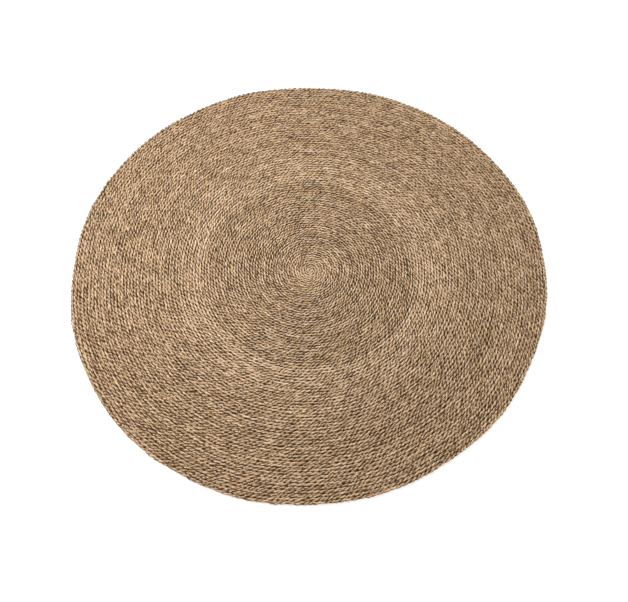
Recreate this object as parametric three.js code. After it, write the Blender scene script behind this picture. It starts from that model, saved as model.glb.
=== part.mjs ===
// A round rug of twisted seagrass rope, wound flat from its centre and sewn turn to turn.
// Millimetres, +Z up. The rug lies on z = 0, and the origin is the middle of its box there.
// It is one solid: the turns stand up as one spiral ridge, and the underside is flat.
import * as THREE from "three";

// The coil, seen from above, winds outwards clockwise.
const TURNS = 82;
const COIL_RADIUS = 756.5;
const START_WIDTH = 7.6; // the rope at the centre, where it is thinnest and pulled tightest
const WIDENING = 2.5; // how soon the rope reaches its full width: 1 is evenly, more is sooner
const RIM_WIDTH =
  ((COIL_RADIUS / TURNS) * WIDENING - START_WIDTH) / (WIDENING - 1);
const START_OFFSET = { x: 1.6, y: -17.9 }; // the coil begins a little off the rug's middle

// The rope's section, as shares of its width.
const CREST_HEIGHT = 0.95;
const SEAM_HEIGHT = 0.5; // where two turns press together, and the rim's widest point
const FOOT_INSET = 0.28; // how far the rim curls in under itself

// The rope's outer end thins out and is tucked against the turn inside it.
const TIP_ANGLE = THREE.MathUtils.degToRad(-24);
const TAPER_TURN = 0.048;

// The hand-sewn rug isn't a true circle. Each row is a number of bulges round the rug,
// how far they stand out, and the direction of one of them in degrees.
const BULGES = [
  { count: 1, out: 4.2, direction: 179 },
  { count: 2, out: 3.6, direction: 34 },
  { count: 3, out: 3.6, direction: 20 },
  { count: 4, out: 2.5, direction: -42 },
  { count: 7, out: 1.1, direction: 12 },
  { count: 8, out: 1.0, direction: 20 },
  { count: 12, out: 1.2, direction: -13 },
];

// Points to a turn: few on the short inner turns, more on the long outer ones.
const ZONES = [
  { lastTurn: 9, points: 16 },
  { lastTurn: 24, points: 24 },
  { lastTurn: 45, points: 32 },
  { lastTurn: TURNS, points: 42 },
];

// Distance from the coil's start to a place `turns` turns out, along an average direction.
function coilRadius(turns) {
  const left = 1 - turns / TURNS;
  const missing =
    ((RIM_WIDTH - START_WIDTH) * TURNS * (1 - left ** WIDENING)) / WIDENING;
  return RIM_WIDTH * turns - missing;
}

// The rope's width there, which is the slope of coilRadius.
function ropeWidth(turns) {
  const left = 1 - turns / TURNS;
  return RIM_WIDTH - (RIM_WIDTH - START_WIDTH) * left ** (WIDENING - 1);
}

// Radius that a full last turn would have in one direction.
function outlineRadius(angle) {
  return BULGES.reduce((radius, { count, out, direction }) => {
    const phase = angle - THREE.MathUtils.degToRad(direction);
    return radius + out * Math.cos(count * phase);
  }, COIL_RADIUS);
}

// The turns are nested copies of the outline that shrink towards the coil's start.
// `share` is the part of a turn gone round, clockwise, and `inset` moves the place inwards.
function place(turns, share, inset = 0) {
  const angle = TIP_ANGLE - 2 * Math.PI * (share % 1);
  const size = (coilRadius(turns) - inset) / COIL_RADIUS;
  const radius = size * outlineRadius(angle);
  return {
    x: START_OFFSET.x * (1 - size) + radius * Math.cos(angle),
    y: START_OFFSET.y * (1 - size) + radius * Math.sin(angle),
  };
}

// The seam outside a turn, in turns from the start. Turn 0 is the start itself.
function outerSeam(turn, share) {
  if (turn === 0) return 0;
  const seam = turn - 1 + share;
  if (turn < TURNS) return seam;
  const taper = Math.max(0, (share - 1 + TAPER_TURN) / TAPER_TURN);
  return THREE.MathUtils.lerp(seam, TURNS - 1, taper);
}

function innerSeam(turn, share) {
  return Math.max(0, turn - 2 + share);
}

function pointsInTurn(turn) {
  return ZONES.find((zone) => turn <= zone.lastTurn).points;
}

const corners = [];
const triangles = [];
const known = new Map();

// The number of a corner, the same number for the same place.
function corner({ x, y }, z) {
  const key = [x, y, z].map((value) => value.toFixed(4)).join(" ");
  if (!known.has(key)) {
    known.set(key, corners.length / 3);
    corners.push(x, y, z);
  }
  return known.get(key);
}

// A triangle that has shrunk to a line or a point is left out.
function addTriangle(a, b, c) {
  if (a !== b && b !== c && c !== a) triangles.push(a, b, c);
}

// One turn's line of corners, from share 0 to share 1.
function lineOf(turn, makeCorner) {
  const points = pointsInTurn(turn);
  return Array.from({ length: points + 1 }, (_, i) => makeCorner(i / points));
}

function seamLine(turn) {
  return lineOf(turn, (share) => {
    const turns = outerSeam(turn, share);
    return corner(place(turns, share), SEAM_HEIGHT * ropeWidth(turns));
  });
}

// The crest runs between two seams, lower where the rope is thin at its start and its tip.
function crestLine(turn) {
  return lineOf(turn, (share) => {
    const inner = innerSeam(turn, share);
    const outer = outerSeam(turn, share);
    const middle = (inner + outer) / 2;
    const height = THREE.MathUtils.lerp(
      SEAM_HEIGHT,
      CREST_HEIGHT,
      outer - inner,
    );
    return corner(place(middle, share), height * ropeWidth(middle));
  });
}

// The foot is the rim's line on the floor.
function footLine() {
  return lineOf(TURNS, (share) => {
    const turns = outerSeam(TURNS, share);
    return corner(place(turns, share, FOOT_INSET * ropeWidth(turns)), 0);
  });
}

// Fills the band between two clockwise lines that may differ in their number of corners.
function addBand(inner, outer) {
  const lastInner = inner.length - 1;
  const lastOuter = outer.length - 1;
  let i = 0;
  let o = 0;
  while (i < lastInner || o < lastOuter) {
    const innerNext = (i + 1) / lastInner;
    const outerNext = (o + 1) / lastOuter;
    if (innerNext <= outerNext) {
      addTriangle(inner[i], inner[i + 1], outer[o]);
      i += 1;
    } else {
      addTriangle(inner[i], outer[o + 1], outer[o]);
      o += 1;
    }
  }
}

// Fills the flat underside between corners `from` and `to` of the foot, halving each stretch.
function addUnderside(foot, from, to) {
  if (to - from < 2) return;
  const half = Math.round((from + to) / 2);
  addTriangle(foot[from], foot[half], foot[to]);
  addUnderside(foot, from, half);
  addUnderside(foot, half, to);
}

let seam = [corner(place(0, 0), SEAM_HEIGHT * START_WIDTH)];
for (let turn = 1; turn <= TURNS; turn += 1) {
  const crest = crestLine(turn);
  const nextSeam = seamLine(turn);
  addBand(seam, crest);
  addBand(crest, nextSeam);
  seam = nextSeam;
}

const foot = footLine();
addBand(seam, foot);
const third = (foot.length - 1) / 3;
addTriangle(foot[0], foot[third], foot[2 * third]);
for (let part = 0; part < 3; part += 1) {
  addUnderside(foot, part * third, (part + 1) * third);
}

const geometry = new THREE.BufferGeometry();
geometry.setAttribute("position", new THREE.Float32BufferAttribute(corners, 3));
geometry.setIndex(triangles);
geometry.computeBoundingBox();
const middle = geometry.boundingBox.getCenter(new THREE.Vector3());
geometry.translate(-middle.x, -middle.y, 0);
geometry.computeVertexNormals();

const seagrass = new THREE.MeshStandardMaterial({
  color: 0xa5896b,
  roughness: 0.85,
  metalness: 0,
  flatShading: true,
});
const rug = new THREE.Mesh(geometry, seagrass);
rug.name = "rug";

const roundRug = new THREE.Group();
roundRug.add(rug);

export default roundRug;
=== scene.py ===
import bpy
import numpy as np
from mathutils import Euler, Matrix


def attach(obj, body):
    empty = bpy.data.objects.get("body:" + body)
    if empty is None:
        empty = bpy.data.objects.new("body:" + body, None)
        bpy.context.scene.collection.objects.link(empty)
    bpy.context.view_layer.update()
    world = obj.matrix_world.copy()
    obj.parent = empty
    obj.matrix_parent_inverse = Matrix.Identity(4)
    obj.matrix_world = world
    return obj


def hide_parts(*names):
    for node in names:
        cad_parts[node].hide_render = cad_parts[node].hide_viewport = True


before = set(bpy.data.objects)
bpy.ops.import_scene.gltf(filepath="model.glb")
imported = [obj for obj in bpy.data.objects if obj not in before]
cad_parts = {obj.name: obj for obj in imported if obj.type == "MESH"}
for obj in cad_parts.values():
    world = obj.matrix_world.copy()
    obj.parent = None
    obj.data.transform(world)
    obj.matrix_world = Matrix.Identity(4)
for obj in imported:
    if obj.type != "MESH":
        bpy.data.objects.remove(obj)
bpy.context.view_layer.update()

# The view. The camera stands about 2 m above the floor in front of the rug's near side and
# looks down at it, level but for a slight roll. Its focal length is given on a 36 mm sensor.
CAMERA_PLACE = (0.0147, -1.1250, 2.0004)
CAMERA_DIP = np.radians(63.35)
CAMERA_ROLL = np.radians(0.8)
FOCAL_MM = 41.20
SENSOR_MM = 36

camera_data = bpy.data.cameras.new("camera")
camera_data.sensor_width = SENSOR_MM
camera_data.lens = FOCAL_MM
camera = bpy.data.objects.new("camera", camera_data)
tilt = Euler((np.pi / 2 - CAMERA_DIP, 0, 0)).to_matrix()
turn = tilt @ Matrix.Rotation(CAMERA_ROLL, 3, "Z")
camera.matrix_world = Matrix.Translation(CAMERA_PLACE) @ turn.to_4x4()
bpy.context.collection.objects.link(camera)
bpy.context.scene.camera = camera
bpy.context.scene.view_settings.view_transform = "Standard"

# The floor is plain and pale. It glows softly, as a light table does, so that the rug's own
# shadow stays faint, and it lies a hair under the rug.
FLOOR_SIDE = 24.0
FLOOR_DROP = 0.0003
FLOOR_COLOUR = (0.45, 0.45, 0.45, 1)
FLOOR_ROUGHNESS = 0.9
FLOOR_GLOW_COLOUR = (1, 1, 1, 1)
FLOOR_GLOW = 0.65

half = FLOOR_SIDE / 2
floor_mesh = bpy.data.meshes.new("floor")
floor_mesh.from_pydata(
    [(x, y, -FLOOR_DROP) for x, y in ((-half, -half), (half, -half), (half, half), (-half, half))],
    [],
    [(0, 1, 2, 3)],
)
floor_material = bpy.data.materials.new("pale floor")
floor_material.use_nodes = True
floor_shader = floor_material.node_tree.nodes["Principled BSDF"]
floor_shader.inputs["Base Color"].default_value = FLOOR_COLOUR
floor_shader.inputs["Roughness"].default_value = FLOOR_ROUGHNESS
floor_shader.inputs["Emission Color"].default_value = FLOOR_GLOW_COLOUR
floor_shader.inputs["Emission Strength"].default_value = FLOOR_GLOW
floor_mesh.materials.append(floor_material)
floor = bpy.data.objects.new("floor", floor_mesh)
bpy.context.collection.objects.link(floor)

# The light is an even white surround that fills the shadows, and one wide soft box overhead.
# It stands to the left of the rug's middle and beyond it, and faces the middle.
SURROUND_COLOUR = (1, 1, 1, 1)
SURROUND_STRENGTH = 0.61
SOFT_BOX_SIDE = 1.9
SOFT_BOX_WATTS = 98
SOFT_BOX_PLACE = (-1.4, 0.8, 2.4)

surround = bpy.data.worlds.new("surround")
surround.use_nodes = True
surround.node_tree.nodes["Background"].inputs["Color"].default_value = SURROUND_COLOUR
surround.node_tree.nodes["Background"].inputs["Strength"].default_value = SURROUND_STRENGTH
bpy.context.scene.world = surround

soft_box_data = bpy.data.lights.new("soft box", "AREA")
soft_box_data.size = SOFT_BOX_SIDE
soft_box_data.energy = SOFT_BOX_WATTS
soft_box = bpy.data.objects.new("soft box", soft_box_data)
stand = Matrix.Translation(SOFT_BOX_PLACE)
aim = -stand.to_translation()
soft_box.matrix_world = stand @ aim.to_track_quat("-Z", "Y").to_matrix().to_4x4()
bpy.context.collection.objects.link(soft_box)

# The rope. Seagrass is twisted into two strands, the strands are laid up into one rope about
# 8 mm thick at the start and 10 mm at the rim, and the rope is wound flat into 82 turns,
# clockwise outwards, each sewn to the one inside it. Here it is laid in five lengths.
TURNS = 82
COIL_RADIUS = 0.7565
START_WIDTH = 0.0076
WIDENING = 2.5  # how soon the rope reaches its full width: 1 is evenly, more is sooner
RIM_WIDTH = ((COIL_RADIUS / TURNS) * WIDENING - START_WIDTH) / (WIDENING - 1)
START_OFFSET = np.array([0.0016, -0.0179])  # the coil begins a little off the rug's middle
TIP_ANGLE = np.radians(-24)
TAPER_TURN = 0.048  # the rope's end thins out over this share of a turn

# Bulges of the hand-sewn rim: their number, how far they stand out, the direction of one in
# degrees.
BULGES = (
    (1, 0.0042, 179),
    (2, 0.0036, 34),
    (3, 0.0036, 20),
    (4, 0.0025, -42),
    (7, 0.0011, 12),
    (8, 0.0010, 20),
    (12, 0.0012, -13),
)


def coil_radius(turns):
    """Distance from the coil's start: RIM_WIDTH a turn, less what the thinner turns fall short.

    They fall short by (RIM_WIDTH - START_WIDTH) times TURNS / WIDENING times
    1 - left**WIDENING, where `left` is the share of the turns still to come.
    """
    left = np.maximum(1 - turns / TURNS, 0)
    return RIM_WIDTH * turns - (RIM_WIDTH - START_WIDTH) * TURNS * (1 - left**WIDENING) / WIDENING


def rope_width(turns):
    """The slope of coil_radius: RIM_WIDTH - (RIM_WIDTH - START_WIDTH) left**(WIDENING - 1)."""
    left = np.maximum(1 - turns / TURNS, 0)
    return RIM_WIDTH - (RIM_WIDTH - START_WIDTH) * left ** (WIDENING - 1)


def place(turns, gone):
    """The coil in plan, `turns` out from its start and `gone` turns round it, clockwise.

    The rim's outline is COIL_RADIUS plus a cosine for each of the BULGES. The place is that
    outline, shrunk towards the coil's start by coil_radius / COIL_RADIUS.
    """
    angle = TIP_ANGLE - 2 * np.pi * gone
    outline = COIL_RADIUS + sum(out * np.cos(n * (angle - np.radians(at))) for n, out, at in BULGES)
    size = coil_radius(turns) / COIL_RADIUS
    across = np.stack([np.cos(angle), np.sin(angle)], -1)
    return START_OFFSET * (1 - size)[..., None] + (size * outline)[..., None] * across


def drift(distance, spacing, seed):
    """Random values of spread 1 at an even spacing, joined by the smooth step
    3 part**2 - 2 part**3, where `part` is the part of the way from one to the next."""
    at = np.maximum(distance, 0) / spacing
    values = np.random.default_rng(seed).normal(size=int(at.max()) + 3)
    whole = np.floor(at).astype(int)
    part = at - whole
    ease = part * part * (3 - 2 * part)
    return values[whole] * (1 - ease) + values[whole + 1] * ease


# No two turns press together quite alike, so each seam wanders, and is tight here and open
# there. Here and below, a second value named LENGTH is how soon it changes, in metres of rope.
SEAM_WANDER, SEAM_WANDER_LENGTH = 0.07, 0.03  # of the rope's width
STEADY_TURNS, STEADY_POWER = 60, 0.5  # the wander grows outwards as this power of the turns
CALM_TURNS, RIM_CALM = 2, 0.6  # and calms down to this share of it at the rug's edge
SEAM_TIGHTNESS, SEAM_TIGHTNESS_LENGTH = 0.5, 0.012
WIDEST_GAP = 1.6


def even_distance(gone):
    """Metres of rope laid if every turn had the mean width: the rim's circumference times the
    square of the turns gone, over twice the TURNS."""
    return 2 * np.pi * COIL_RADIUS * gone**2 / (2 * TURNS)


def seam(gone):
    """Turns from the start to the seam outside the rope: as many as are gone, plus the wander.

    The wander is SEAM_WANDER times its drift, times (gone / STEADY_TURNS)**STEADY_POWER up to
    1, and calms down near the rim. Over the last TAPER_TURN the seam runs in to the one
    before it, where the rope's end is tucked.
    """
    steady = np.clip(gone / STEADY_TURNS, 0, 1) ** STEADY_POWER
    steady = steady * np.clip((TURNS - gone) / CALM_TURNS + RIM_CALM, 0, 1)
    wander = SEAM_WANDER * steady * drift(even_distance(gone), SEAM_WANDER_LENGTH, seed=3)
    taper = np.clip((gone - TURNS + TAPER_TURN) / TAPER_TURN, 0, 1)
    return np.maximum(gone, 0) * (1 - taper) + (TURNS - 1) * taper + wander


def seam_gap(gone):
    """How open the seam outside the rope is: 1 plus SEAM_TIGHTNESS times its drift, from 0,
    which is pressed shut, to WIDEST_GAP."""
    gap = 1 + SEAM_TIGHTNESS * drift(even_distance(gone), SEAM_TIGHTNESS_LENGTH, seed=13)
    return np.clip(gap, 0, WIDEST_GAP)


# The lay is one full twist of the two strands, and it is uneven too. One walk along the whole
# rope, in small steps, adds up the metres of rope and the radians of twist.
STEPS_A_TURN = 600
LAY_LENGTH = 3.3  # of the rope's width
LAY_WANDER, LAY_WANDER_LENGTH = 0.34, 0.013
TIGHTEST_LAY, LOOSEST_LAY = 0.6, 1.8
START_TWIST = 0.4  # the rope is cut this far into its first twist, in radians

walk = np.linspace(0, TURNS, TURNS * STEPS_A_TURN + 1)
walk_turns = (seam(np.maximum(walk - 1, 0)) + seam(walk)) / 2
steps = np.hypot(*np.diff(place(walk_turns, walk), axis=0).T)
walk_distance = np.concatenate([[0], np.cumsum(steps)])
unevenness = 1 + LAY_WANDER * drift(walk_distance, LAY_WANDER_LENGTH, seed=5)
walk_lay = LAY_LENGTH * rope_width(walk_turns) * np.clip(unevenness, TIGHTEST_LAY, LOOSEST_LAY)
twists = 2 * np.pi * steps / (walk_lay[1:] + walk_lay[:-1]) * 2
walk_twist = np.concatenate([[0], np.cumsum(twists)])
BUMPS = int((walk_twist[-1] - START_TWIST) / np.pi) - 1

# The rug's middle, which is the origin, is the middle of its last turn's box.
last_turn = walk[-STEPS_A_TURN - 1 :]
rim = place(seam(last_turn), last_turn)
rug_middle = (rim.min(axis=0) + rim.max(axis=0)) / 2

# A bump is half a lay, where one strand crosses the top of the rope. It has six rows of
# corners, closest by the groove, and six corners across the top of each row. A row slants
# with its strand, so its outer end lies further along the rope than its inner end.
ROW_ANGLES = np.radians([-90, -68, -38, 0, 38, 68])
ACROSS = np.array([-1, -0.8, -0.3, 0.3, 0.8, 1])  # shares of half the rope's width
ROWS, COLUMNS = len(ROW_ANGLES), len(ACROSS)
LAY_SLANT = 0.8  # half lays from a row's inner end to its outer one
FOOT_REACH = 0.30  # how far the flattened foot reaches, of half the width


def on_rope(strand_angle, round_angle):
    """Where a corner lies: on the strand's line, which moves along the rope as it goes round it.

    Its twist is START_TWIST plus both angles. The rope is cut square at its start, so
    `round_angle` grows from nothing over the first twist.
    """
    twist = START_TWIST + strand_angle + round_angle * np.clip(strand_angle / (2 * np.pi), 0, 1)
    gone = np.interp(twist, walk_twist, walk)
    distance = np.interp(twist, walk_twist, walk_distance)
    inner, outer = seam(np.maximum(gone - 1, 0)), seam(gone)
    return gone, distance, inner, outer


def foot_points(strand_angle):
    """The two edges of the rope's flattened foot, one pair for each bump: on the floor, each
    FOOT_REACH times half the width from the rope's middle line."""
    side = np.array([-1, 1])
    gone, _, inner, outer = on_rope(strand_angle[:, None], side[None, :] * LAY_SLANT * np.pi / 2)
    plan = place((inner + outer) / 2 + (outer - inner) / 2 * FOOT_REACH * side, gone) - rug_middle
    return np.dstack([plan, np.zeros(plan.shape[:2])])


# Shade is painted into the colour of the hollows: more in the tight inner turns, though less in
# the first few, a little more in the paler lot, and less at the rug's edge, which is open to the
# light.
HOLLOW_DARK = 0.85
TIGHT_DARK, TIGHT_POWER = 0.88, 1.5
START_LIGHT, FIRST_TURNS = 0.5, 8
LOT_DARK = 0.12
LOT_TURN, LOT_RISE, LOT_FADE = 39.5, 2, 11  # where it begins, comes in and fades, in turns
RIM_DARK = 0.62


def first_share(turns):
    """1 at the coil's start, fading as exp(-(turns / FIRST_TURNS)**2)."""
    return np.exp(-((turns / FIRST_TURNS) ** 2))


def tight_share(turns):
    """1 at the coil's start and 0 at the rim: the share of turns to come, to TIGHT_POWER."""
    return (1 - turns / TURNS) ** TIGHT_POWER


def lot_share(turns):
    """How much of the paler lot there is. It comes in evenly over LOT_RISE turns about its
    first turn, and fades as exp(-(turns since / LOT_FADE)**2)."""
    rise = np.clip((turns - LOT_TURN) / LOT_RISE + 0.5, 0, 1)
    return rise * np.exp(-(np.maximum(turns - LOT_TURN, 0) / LOT_FADE) ** 2)


def hollow_shade(turns):
    """The deepest painted shade of a hollow: HOLLOW_DARK, plus TIGHT_DARK times tight_share, less
    START_LIGHT times first_share, plus LOT_DARK times lot_share."""
    dark = HOLLOW_DARK + TIGHT_DARK * tight_share(turns) - START_LIGHT * first_share(turns)
    return dark + LOT_DARK * lot_share(turns)


# The rope's section, as shares of its width. The strands bulge, the grooves between them sink,
# neighbouring turns press a little into each other, and the rug's edge is scalloped and frayed.
CREST_HEIGHT = 0.95
THINNEST_CREST = 0.4  # where the rope thins out, its crest keeps this share of its height
WAIST_HIGH, WAIST_LOW = 0.66, 0.33  # where two turns press together: at a strand, at a groove
GAP_SAG, WAIST_MOST = 0.8, 1.2  # how far an open seam lets the waist sag, and its upper limit
GROOVE_DEPTH = 0.50  # of the crest's height above the low waist
GROOVE_NARROWING = 0.35  # of half the width
OVERLAP, GROOVE_OVERLAP = 0.03, 0.08  # of half the width: all along, and more at a groove
START_OVERLAP, START_OVERLAP_TURNS = 0.10, 6  # and more again at the tight first turns
FULLNESS = 0.9  # under 1 swells the strands and narrows the grooves between them
DOME_SIDE, DOME_TOP = 2.2, 0.6  # powers that square the section's shoulders
HEIGHT_WANDER, HEIGHT_WANDER_LENGTH = 0.06, 0.03
SWELL_WIDENING = 0.5  # the power by which a thicker bump is wider too
RIM_SCALLOP = 0.40  # how far the grooves cut in at the rug's edge, of half the width
RIM_WANDER, RIM_WANDER_LENGTH = 0.16, 0.022


def rope_points(strand_angle, bump_size, groove_depth):
    """Rows and columns of corners over the rope's top, and the painted shade of each corner's
    hollow.

    `full` is |cos|**FULLNESS of the angle to the nearer strand's back: 1 on the back, 0 in
    the groove. `swell` is 1 plus the bump's size and a slow drift. The section is a squared
    dome, (1 - |across|**DOME_SIDE)**DOME_TOP, from the waist up to the top, and lower and
    narrower where it isn't full. The waist reaches past the seam by the overlaps, and at the
    rug's edge it follows the scallops instead. A hollow's painted shade, which darkens the
    colour, is its depth below the crest, as a share of the crest's height above the low waist,
    times hollow_shade.
    """
    strand = strand_angle[:, None] + 0 * ACROSS
    gone, distance, inner, outer = on_rope(strand, ACROSS * LAY_SLANT * np.pi / 2)
    full = np.abs(np.cos(strand)) ** FULLNESS
    dome = (1 - np.abs(ACROSS) ** DOME_SIDE) ** DOME_TOP
    swell = 1 + bump_size[:, None] + HEIGHT_WANDER * drift(distance, HEIGHT_WANDER_LENGTH, seed=7)

    pressed = 1 + OVERLAP + GROOVE_OVERLAP * (1 - full)
    pressed = pressed + START_OVERLAP * np.exp(-gone / START_OVERLAP_TURNS)
    narrowed = (1 - GROOVE_NARROWING * (1 - full)) * swell**SWELL_WIDENING
    reach = ACROSS * np.where(np.abs(ACROSS) == 1, pressed, narrowed)
    at_rim = (ACROSS == 1) & (gone > TURNS - 1)
    frayed = swell + RIM_WANDER * drift(distance, RIM_WANDER_LENGTH, seed=17)
    reach = np.where(at_rim, (1 - RIM_SCALLOP * (1 - full)) * frayed, reach)
    middle, half_width = (inner + outer) / 2, (outer - inner) / 2
    plan = place(middle + half_width * reach, gone) - rug_middle

    crest = CREST_HEIGHT * np.clip(outer - inner, THINNEST_CREST, 1)
    gap = np.where(ACROSS < 0, seam_gap(np.maximum(gone - 1, 0)), seam_gap(gone))
    waist_rise = (full * (1 + GAP_SAG - GAP_SAG * gap)).clip(0, WAIST_MOST)
    waist = WAIST_LOW + (WAIST_HIGH - WAIST_LOW) * waist_rise
    top = WAIST_LOW + (crest - WAIST_LOW) * (1 - groove_depth[:, None] * (1 - full)) * swell
    height = waist * (1 - dome) + top * dome
    points = np.dstack([plan, height * rope_width(middle)])

    # Painted shade in the hollows darkens the grooves and seams, less of it along the rug's edge,
    # which is open to the light.
    hollow = np.clip((crest - height) / (crest - WAIST_LOW), 0, 1) * hollow_shade(middle)
    hollow = np.where(at_rim, RIM_DARK * hollow, hollow)
    return points, distance, hollow, middle


# Every bump differs from the next in thickness, in tone and in the depth of the groove before
# it, and over longer stretches one strand and then the other is the thicker. A value named
# MOST is where the random draw is cut off, and so are SHALLOWEST and DEEPEST.
BUMP_JITTER, BUMP_JITTER_MOST = 0.08, 2
STRAND_JITTER, STRAND_JITTER_BUMPS = 0.05, 12
BUMP_TONE, BUMP_TONE_MOST = 0.02, 2.2
GROOVE_JITTER, SHALLOWEST, DEEPEST = 0.40, -1.8, 1.5

rng = np.random.default_rng(11)
bump_sizes = BUMP_JITTER * rng.normal(size=BUMPS + 2).clip(-BUMP_JITTER_MOST, BUMP_JITTER_MOST)
strand_sizes = STRAND_JITTER * drift(np.arange(BUMPS + 2.0), STRAND_JITTER_BUMPS, seed=31)
bump_sizes[::2] += strand_sizes[::2]
bump_sizes[1::2] -= strand_sizes[1::2]
bump_tones = rng.normal(size=BUMPS + 2).clip(-BUMP_TONE_MOST, BUMP_TONE_MOST)
groove_draws = rng.normal(size=BUMPS + 2).clip(SHALLOWEST, DEEPEST)
groove_depths = GROOVE_DEPTH * (1 + GROOVE_JITTER * groove_draws)

# Shade of the grass. The first turns are pale, the inner turns are a little paler than the
# outer ones, and a paler lot of grass was wound in about halfway out, which soon fades away.
PALE_START = 0.05
PALE_LOT = 0.115
TIGHT_PALE = 0.135
TONE_DRIFT = 0.012
SHORT_DRIFT_LENGTH, LONG_DRIFT_LENGTH = 0.3, 2.3


def grass_shade(turns, distance, tones):
    """PALE_START times first_share, PALE_LOT times lot_share and TIGHT_PALE times tight_share,
    plus each bump's own tone and two slow drifts of tone along the rope."""
    shade = PALE_START * first_share(turns) + PALE_LOT * lot_share(turns)
    shade = shade + TIGHT_PALE * tight_share(turns) + BUMP_TONE * tones
    short_drift = TONE_DRIFT * drift(distance, SHORT_DRIFT_LENGTH, seed=21)
    long_drift = TONE_DRIFT * drift(distance, LONG_DRIFT_LENGTH, seed=23)
    return shade + (short_drift + long_drift)


def add_shade(mesh, name, top, feet):
    """One number for each corner, top rows first and then the feet."""
    values = np.concatenate([top.ravel(), feet.ravel()]).astype(np.float32)
    mesh.attributes.new(name, "FLOAT", "POINT").data.foreach_set("value", values)


def rope_faces(count):
    """The faces of a closed tube of `count` bumps: their corners, their sizes and their bumps.

    The top is a grid of quads, the sole one quad for each bump, each side of a bump a fan of
    triangles, and a cap closes each end.
    """
    # Corners: top rows first, then the feet, inner and outer in turn.
    top = np.arange((ROWS * count + 1) * COLUMNS).reshape(-1, COLUMNS)
    foot = top.size + np.arange((count + 1) * 2).reshape(-1, 2)
    quads = np.stack([top[:-1, :-1], top[1:, :-1], top[1:, 1:], top[:-1, 1:]], -1).reshape(-1, 4)
    soles = np.stack([foot[:-1, 1], foot[1:, 1], foot[1:, 0], foot[:-1, 0]], -1)

    # Each side of a bump is filled from its waist's seven corners to the foot's two.
    inner = np.stack([top[i : i + ROWS * count : ROWS, 0] for i in range(ROWS + 1)], -1)
    outer = np.stack([top[i : i + ROWS * count : ROWS, -1] for i in range(ROWS + 1)], -1)
    inner = np.concatenate([inner, foot[:-1, :1], foot[1:, :1]], 1)
    outer = np.concatenate([outer, foot[:-1, 1:], foot[1:, 1:]], 1)
    near, far = ROWS + 1, ROWS + 2
    mid = ROWS // 2
    fan = [(i + 1, i, near if i < mid else far) for i in range(ROWS)] + [(mid, near, far)]
    inner_sides = inner[:, fan].reshape(-1, 3)
    outer_sides = outer[:, [corner[::-1] for corner in fan]].reshape(-1, 3)
    first_cap = np.concatenate([top[0], foot[0, ::-1]])
    last_cap = np.concatenate([top[-1], foot[-1, ::-1]])[::-1]

    corners = np.concatenate([
        quads.ravel(),
        soles.ravel(),
        inner_sides.ravel(),
        outer_sides.ravel(),
        first_cap,
        last_cap,
    ])
    sizes = np.concatenate([
        np.full(len(quads) + len(soles), 4),
        np.full(len(inner_sides) + len(outer_sides), 3),
        [COLUMNS + 2, COLUMNS + 2],
    ])
    each_bump = np.arange(count)
    bumps = np.concatenate([
        np.repeat(each_bump, ROWS * (COLUMNS - 1)),
        each_bump,
        np.tile(np.repeat(each_bump, ROWS + 1), 2),
        [0, count - 1],
    ])
    return corners, sizes, bumps


# The rope unrolled, as it lies on its two maps.
STRIP_SHAPE = 1.65  # bumps in a strip for each strip, so that the strips fill a square
STRIP_END = 1  # bumps of bare room at each end of a strip
UV_GAP = 0.06  # bare share between two strips
COLUMN_ON_MAP = np.array([0.10, 0.215, 0.379, 0.561, 0.725, 0.84])  # shares of a strip's breadth
FOOT_ON_MAP = np.array([0.0, 0.92])
SOLE_END_ON_MAP = 1.0  # the sole runs from the outer foot to the inner one, at the strip's edge
CAP_ON_MAP = 0.5  # bumps from a strip's end to its cap's foot
BLADE_ROOM = 0.2  # metres across the blades' map over which the bumps are spread
BLADE_STEP = 0.618034  # share of that room from one bump to the next
FOOT_ON_BLADES = 1.8  # half widths from the crest, round the side, to the foot


def lay_on_maps(mesh, loops, loop_bump, count, first, distance, turns):
    """Two maps. "OFBake" is the rope cut into strips, one above the other, that fill a square:
    along a strip go the bumps, and across it the foot, the columns and the foot again.

    "Blades" is in metres, along the rope and across it. Each bump has a stretch of its own.
    """
    strips = int(np.sqrt(count / STRIP_SHAPE))
    in_strip = -(-count // strips)
    top_count = (ROWS * count + 1) * COLUMNS
    is_top = loops < top_count
    foot_side = (loops - top_count) % 2
    row = np.where(is_top, loops // COLUMNS, (loops - top_count) // 2 * ROWS)
    along = row / ROWS - loop_bump + loop_bump % in_strip + STRIP_END
    across = np.where(is_top, COLUMN_ON_MAP[loops % COLUMNS], FOOT_ON_MAP[foot_side])
    first_sole = 4 * ROWS * count * (COLUMNS - 1)
    sole = slice(first_sole, first_sole + 4 * count)
    across[sole] = np.where(foot_side[sole] == 0, SOLE_END_ON_MAP, across[sole])
    caps = np.array([-CAP_ON_MAP, CAP_ON_MAP]).repeat(COLUMNS + 2)
    along[-len(caps) :] += np.where(is_top[-len(caps) :], 0, caps)
    down = (loop_bump // in_strip + UV_GAP / 2 + across * (1 - UV_GAP)) / strips
    on_square = np.stack([along / (in_strip + 2 * STRIP_END), down], -1)
    mesh.uv_layers.new(name="OFBake").data.foreach_set("uv", on_square.ravel().astype(np.float32))

    half_width = rope_width(turns) / 2
    on_top = np.stack([distance, ACROSS * half_width], -1)
    on_feet = on_top[::ROWS, [0, -1]] * [1, FOOT_ON_BLADES]
    metres = np.concatenate([on_top.reshape(-1, 2), on_feet.reshape(-1, 2)])[loops]
    metres[:, 1] += (loop_bump + first) * BLADE_STEP % 1 * BLADE_ROOM
    mesh.uv_layers.new(name="Blades").data.foreach_set("uv", metres.ravel().astype(np.float32))


LAST_TURN_MIDDLE = TURNS - 1.5  # turns out to the rope's middle line as the last turn begins


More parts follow.
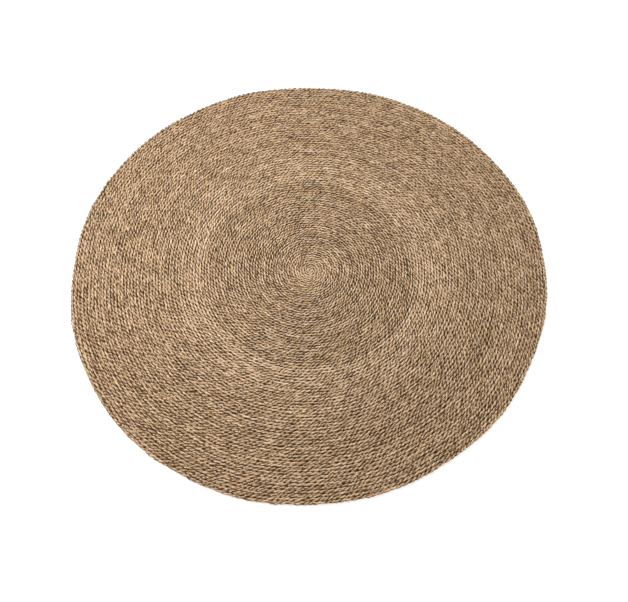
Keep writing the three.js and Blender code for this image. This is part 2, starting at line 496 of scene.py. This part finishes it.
def rope_length(name, first, last):
    """A closed tube from bump `first` to bump `last`, with its maps and its shades.

    A bump's size swells its rows by the square of the cosine of their angle. A row takes the
    depth of the nearer groove.
    """
    count = last - first
    bump = first + np.arange(count)
    strand_angle = np.append((np.pi * bump[:, None] + np.pi / 2 + ROW_ANGLES).ravel(), np.pi * last)
    row_bump = np.append(np.repeat(bump, ROWS), last)
    swell = np.append(np.tile(np.cos(ROW_ANGLES) ** 2, count), 0)
    groove = row_bump + np.append(np.tile(ROW_ANGLES > 0, count), 0)
    points, distance, hollow, turns = rope_points(
        strand_angle, swell * bump_sizes[row_bump], groove_depths[groove]
    )
    feet = foot_points(strand_angle[::ROWS])
    everywhere = np.concatenate([points.reshape(-1, 3), feet.reshape(-1, 3)])
    loops, sizes, face_bump = rope_faces(count)

    mesh = bpy.data.meshes.new(name)
    mesh.vertices.add(len(everywhere))
    mesh.vertices.foreach_set("co", everywhere.ravel().astype(np.float32))
    mesh.loops.add(len(loops))
    mesh.loops.foreach_set("vertex_index", loops.astype(np.int32))
    mesh.polygons.add(len(sizes))
    starts = np.concatenate([[0], np.cumsum(sizes)[:-1]])
    mesh.polygons.foreach_set("loop_start", starts.astype(np.int32))
    mesh.update(calc_edges=True)
    mesh.shade_smooth()

    lay_on_maps(mesh, loops, np.repeat(face_bump, sizes), count, first, distance, turns)
    shade = grass_shade(turns, distance, bump_tones[row_bump][:, None])
    add_shade(mesh, "shade", shade, shade[::ROWS][:, [0, -1]])
    # The feet get the full painted shade of a hollow, but the rim's outer foot, open to the light,
    # gets less.
    outer_foot = np.where(turns[::ROWS, -1] > LAST_TURN_MIDDLE, RIM_DARK, 1)
    add_shade(mesh, "hollow", hollow, np.stack([np.ones(count + 1), outer_foot], -1))
    piece = bpy.data.objects.new(name, mesh)
    bpy.context.collection.objects.link(piece)
    return piece


# The grass itself: flat dry blades, straw to brown, twisted together, so that fine and broad
# streaks, whole blades of another tone and slight ribs run along the strands. Sizes are the
# length along the rope and the width across it, in metres.
FINE_STREAK, FINE_DETAIL, FINE_TONE = (0.008, 0.0009), 2, 0.40
BROAD_STREAK, BROAD_DETAIL, BROAD_TONE = (0.012, 0.0030), 0, 0.15
BLADE, BLADE_FRAY, BLADE_TONE = (0.0055, 0.0027), 3.0, 0.46
RIB_WIDTH, RIB_TONE = 0.0068, 0.26
RIB_WAVER, RIB_WAVER_SCALE = 2.0, 0.6
WAVE_REPEAT = 2 * np.pi / 20  # the wave texture repeats itself at this width
# How far the painted shade of a full hollow darkens the level, and a shift of every level.
HOLLOW_PAINTED_SHADE, BASE_TONE = -0.74, -0.12
GRASS_TONES = (  # a level and its colour
    (0.0, (0.050, 0.026, 0.011, 1)),
    (0.2, (0.165, 0.093, 0.041, 1)),
    (0.55, (0.55, 0.374, 0.222, 1)),
    (1.0, (0.81, 0.675, 0.505, 1)),
)
SHEEN = 0.2
ROUGHNESS, ROUGHNESS_SPAN = 0.62, 0.25
RELIEF_STRENGTH, RELIEF_HEIGHT = 0.5, 0.0006


def seagrass_material():
    """Twisted seagrass: straw to brown blades along the strands, with painted shade in the grooves.

    A level adds up the streaks, the blades, the ribs and the grass's own shade of colour, less
    the hollows' painted shade, each times its own factor, and picks its colour from GRASS_TONES.
    """
    material = bpy.data.materials.new("seagrass")
    material.use_nodes = True
    nodes, links = material.node_tree.nodes, material.node_tree.links
    shader = nodes["Principled BSDF"]

    def add(kind, **settings):
        """A new node of this kind, with these settings."""
        node = nodes.new(kind)
        for key, value in settings.items():
            setattr(node, key, value)
        return node

    def join(start, end):
        """A link from one socket to another."""
        links.new(start, end)

    blade_map = add("ShaderNodeUVMap", uv_map="Blades")

    def stretched(size):
        """The blades' map, over a length along the rope and a width across it."""
        length, width = size
        stretch = add("ShaderNodeMapping")
        stretch.inputs["Scale"].default_value = (1 / length, 1 / width, 1)
        join(blade_map.outputs["UV"], stretch.inputs["Vector"])
        return stretch.outputs["Vector"]

    def streaks(size, detail):
        """Noise drawn out along the rope."""
        noise = add("ShaderNodeTexNoise", noise_dimensions="2D")
        noise.inputs["Scale"].default_value = 1
        noise.inputs["Detail"].default_value = detail
        join(stretched(size), noise.inputs["Vector"])
        return noise.outputs["Fac"]

    def sum_of(a, b, factor):
        """`a` times the factor, plus `b`."""
        node = add("ShaderNodeMath", operation="MULTIPLY_ADD")
        join(a, node.inputs[0])
        node.inputs[1].default_value = factor
        if isinstance(b, float):
            node.inputs[2].default_value = b
        else:
            join(b, node.inputs[2])
        return node.outputs[0]

    fine = streaks(FINE_STREAK, FINE_DETAIL)
    broad = streaks(BROAD_STREAK, BROAD_DETAIL)
    shade = add("ShaderNodeAttribute", attribute_name="shade").outputs["Fac"]
    hollow = add("ShaderNodeAttribute", attribute_name="hollow").outputs["Fac"]

    # Whole blades: cells of one random tone each, whose ends are frayed by the fine streaks.
    fray = add("ShaderNodeCombineXYZ")
    join(sum_of(fine, 0.0, BLADE_FRAY), fray.inputs["X"])
    frayed = add("ShaderNodeVectorMath", operation="ADD")
    join(stretched(BLADE), frayed.inputs[0])
    join(fray.outputs["Vector"], frayed.inputs[1])
    cells = add("ShaderNodeTexVoronoi", voronoi_dimensions="2D")
    cells.inputs["Scale"].default_value = 1
    join(frayed.outputs["Vector"], cells.inputs["Vector"])
    split = add("ShaderNodeSeparateColor")
    join(cells.outputs["Color"], split.inputs["Color"])
    blades = split.outputs[0]

    waves = add("ShaderNodeTexWave", bands_direction="Y")
    waves.inputs["Scale"].default_value = WAVE_REPEAT / RIB_WIDTH
    waves.inputs["Distortion"].default_value = RIB_WAVER
    waves.inputs["Detail"].default_value = 0
    waves.inputs["Detail Scale"].default_value = RIB_WAVER_SCALE
    join(blade_map.outputs["UV"], waves.inputs["Vector"])
    ribs = waves.outputs["Fac"]

    level = sum_of(fine, shade, FINE_TONE)
    level = sum_of(broad, level, BROAD_TONE)
    level = sum_of(blades, level, BLADE_TONE)
    level = sum_of(ribs, level, RIB_TONE)
    # The hollows' painted shade darkens the colour.
    level = sum_of(hollow, level, HOLLOW_PAINTED_SHADE)
    level = sum_of(level, BASE_TONE, 1.0)
    ramp = add("ShaderNodeValToRGB")
    stops = ramp.color_ramp.elements
    stops[0].position, stops[0].color = GRASS_TONES[0]
    stops[1].position, stops[1].color = GRASS_TONES[-1]
    for position, colour in GRASS_TONES[1:-1]:
        stops.new(position).color = colour
    join(level, ramp.inputs["Fac"])
    join(ramp.outputs["Color"], shader.inputs["Base Color"])

    shader.inputs["Specular IOR Level"].default_value = SHEEN
    join(sum_of(fine, ROUGHNESS, ROUGHNESS_SPAN), shader.inputs["Roughness"])
    relief = add("ShaderNodeBump")
    relief.inputs["Strength"].default_value = RELIEF_STRENGTH
    relief.inputs["Distance"].default_value = RELIEF_HEIGHT
    join(sum_of(broad, fine, 1.0), relief.inputs["Height"])
    join(relief.outputs["Normal"], shader.inputs["Normal"])
    return material


# The rope is laid on the floor in five lengths, with about the same number of bumps in each.
LENGTHS = ("rope_start", "rope_second", "rope_third", "rope_fourth", "rope_rim")

seagrass = seagrass_material()
cuts = np.linspace(0, BUMPS, len(LENGTHS) + 1).astype(int)
for name, first, last in zip(LENGTHS, cuts[:-1], cuts[1:]):
    piece = rope_length(name, first, last)
    piece.data.materials.append(seagrass)
    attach(piece, "root")
    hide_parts("rug")
